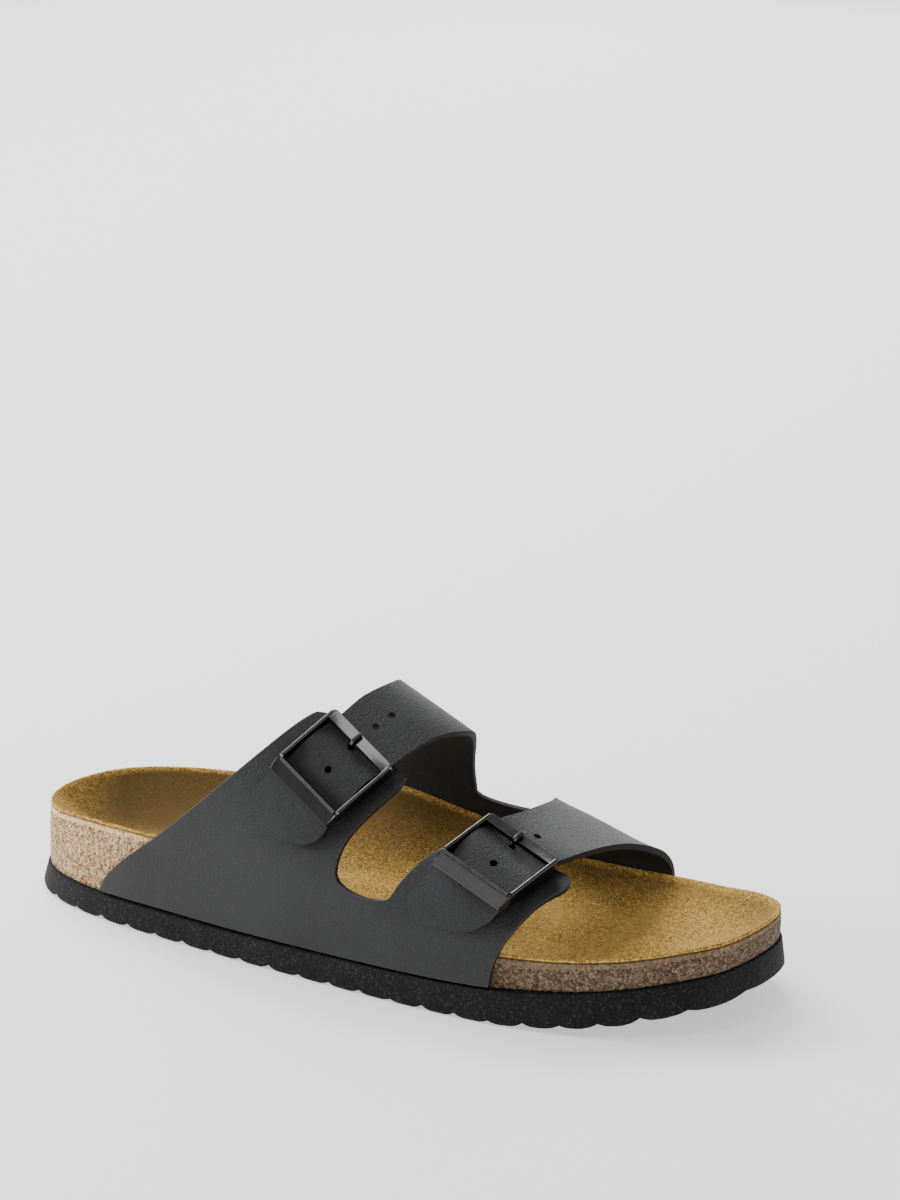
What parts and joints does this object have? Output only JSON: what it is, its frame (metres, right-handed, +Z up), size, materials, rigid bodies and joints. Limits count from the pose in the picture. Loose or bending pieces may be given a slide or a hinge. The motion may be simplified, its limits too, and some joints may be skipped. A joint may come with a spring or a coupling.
{
  "type": "cork footbed sandal",
  "caption": "Open sandal with a moulded cork footbed, suede lining, grooved foam sole and wide straps closed by square buckles; right foot.",
  "frame": {"origin": "middle of the bounding box seen from above, on the floor", "axes": "+X from heel to toe, +Y to the big toe side, +Z up from the floor"},
  "size_m": [0.2807, 0.1068, 0.0928],
  "materials": {
    "foam": "matt fine-grained black foam",
    "cork": "ground cork, matt, light brown",
    "suede": "tan suede nap",
    "leather": "near-black, fine pebbled grain, semi-matt",
    "metal": "glossy dark gunmetal"
  },
  "bodies": {
    "root": {"outsole": "foam", "cork_footbed": "cork", "suede_lining": "suede", "lateral_quarter": "leather", "medial_quarter": "leather", "rear_buckle_frame": "metal", "rear_buckle_bar": "metal", "rear_buckle_prong": "metal", "front_buckle_frame": "metal", "front_buckle_bar": "metal", "front_buckle_prong": "metal"}
  },
  "joints": []
}
